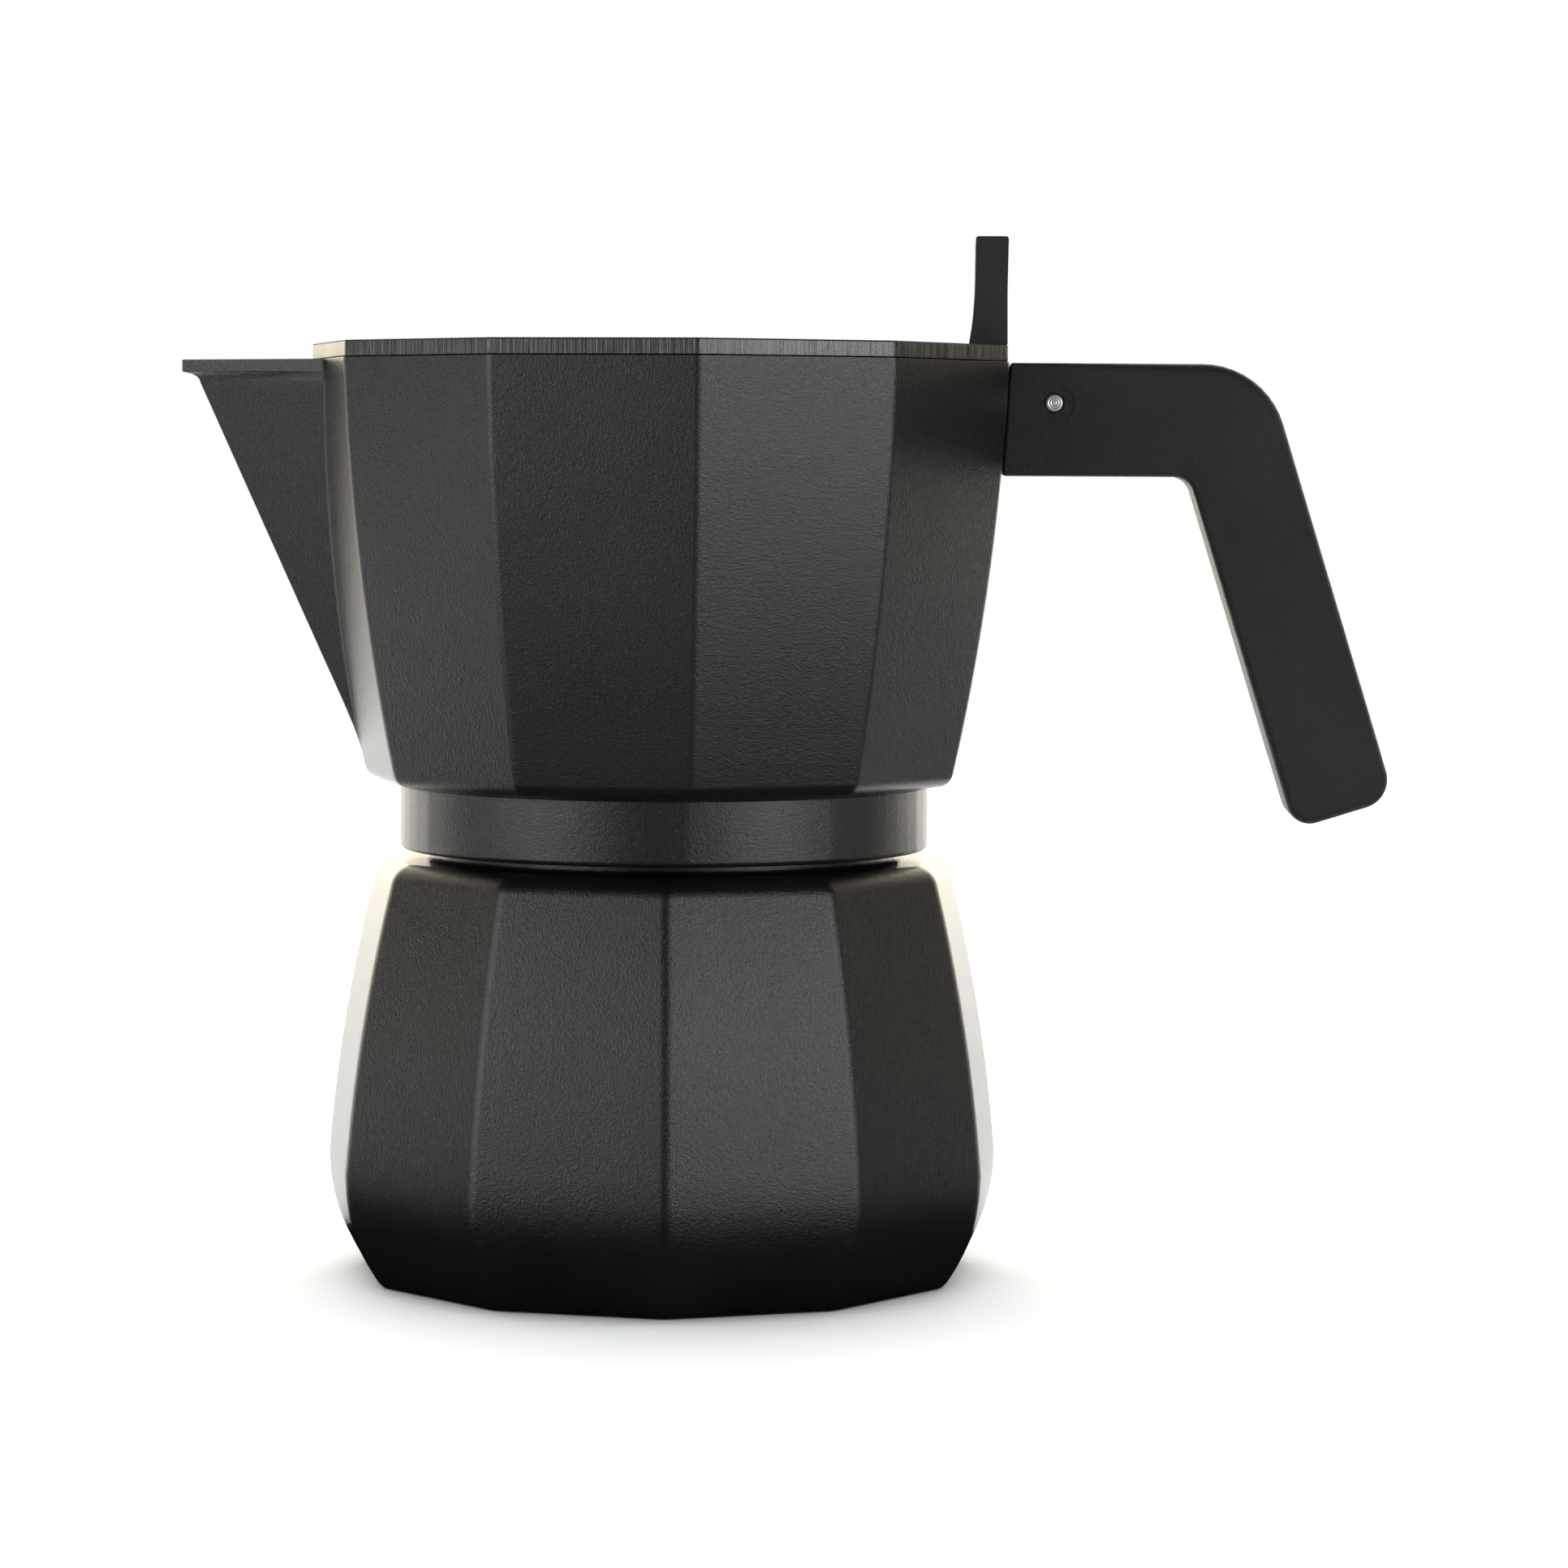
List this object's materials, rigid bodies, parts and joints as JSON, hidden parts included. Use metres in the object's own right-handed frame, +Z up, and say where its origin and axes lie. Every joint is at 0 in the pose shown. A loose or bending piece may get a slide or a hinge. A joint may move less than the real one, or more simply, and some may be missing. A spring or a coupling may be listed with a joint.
{
  "type": "moka pot",
  "caption": "Faceted stove-top moka pot with a screwed-on collector, V spout, flat hinged lid with a thumb tab, and an angled side handle.",
  "frame": {"origin": "centre of the flat foot, on the surface that the pot stands on", "axes": "+Z up along the pot's axis, +X towards the handle, -X towards the spout"},
  "size_m": [0.1656, 0.1021, 0.142],
  "materials": {
    "coated_boiler": "cast aluminium with a fine satin black coat",
    "coated_collector": "cast aluminium with a fine satin black coat",
    "coated_lid": "satin black plate with finely machined edges",
    "bare_aluminium": "bare drawn and turned aluminium",
    "valve_brass": "turned brass",
    "spring_steel": "stainless spring wire",
    "pin_steel": "turned stainless steel",
    "seal_rubber": "off-white food-grade seal",
    "moulded_black": "grained black heat-proof moulding"
  },
  "bodies": {
    "base": {"boiler": "coated_boiler", "valve_body": "valve_brass", "valve_retainer": "valve_brass", "valve_spring": "spring_steel"},
    "valve": {"valve_pin": "pin_steel"},
    "strainer": {"funnel": "bare_aluminium", "funnel_strainer": "bare_aluminium"},
    "seal": {"gasket": "seal_rubber", "filter_plate": "bare_aluminium"},
    "top": {"collector": "coated_collector", "column": "bare_aluminium", "column_cap": "bare_aluminium", "hinge_pin": "pin_steel", "handle": "moulded_black"},
    "lid": {"lid": "coated_lid", "thumb_tab": "moulded_black", "tab_screws": "pin_steel"}
  },
  "joints": [
    {"name": "valve_blow_off", "type": "slide", "parent": "base", "child": "valve", "axis": [-0.0655, 0.9979, 0], "range_m": [0, 0.0012], "stiffness_N_per_m": 1200, "springref_m": -0.002, "deforming": ["valve_spring"]},
    {"name": "lift_off", "type": "slide", "parent": "base", "child": "strainer", "axis": [0, 0, 1], "range_m": [0, 0.075]},
    {"name": "thread_lead", "type": "slide", "parent": "strainer", "child": "seal", "axis": [0, 0, 1], "range_m": [0, 0.00501]},
    {"name": "unscrew", "type": "hinge", "parent": "seal", "child": "top", "pos_m": [0, 0, 0.0585], "axis": [0, 0, 1], "range_deg": [0, 720]},
    {"name": "lid_hinge", "type": "hinge", "parent": "top", "child": "lid", "pos_m": [0.05302, 0, 0.1197], "axis": [0, 1, 0], "range_deg": [0, 92]}
  ],
  "couplings": [
    {"joint": "thread_lead", "follows": "unscrew", "m_per_rad": 0.00039789}
  ]
}
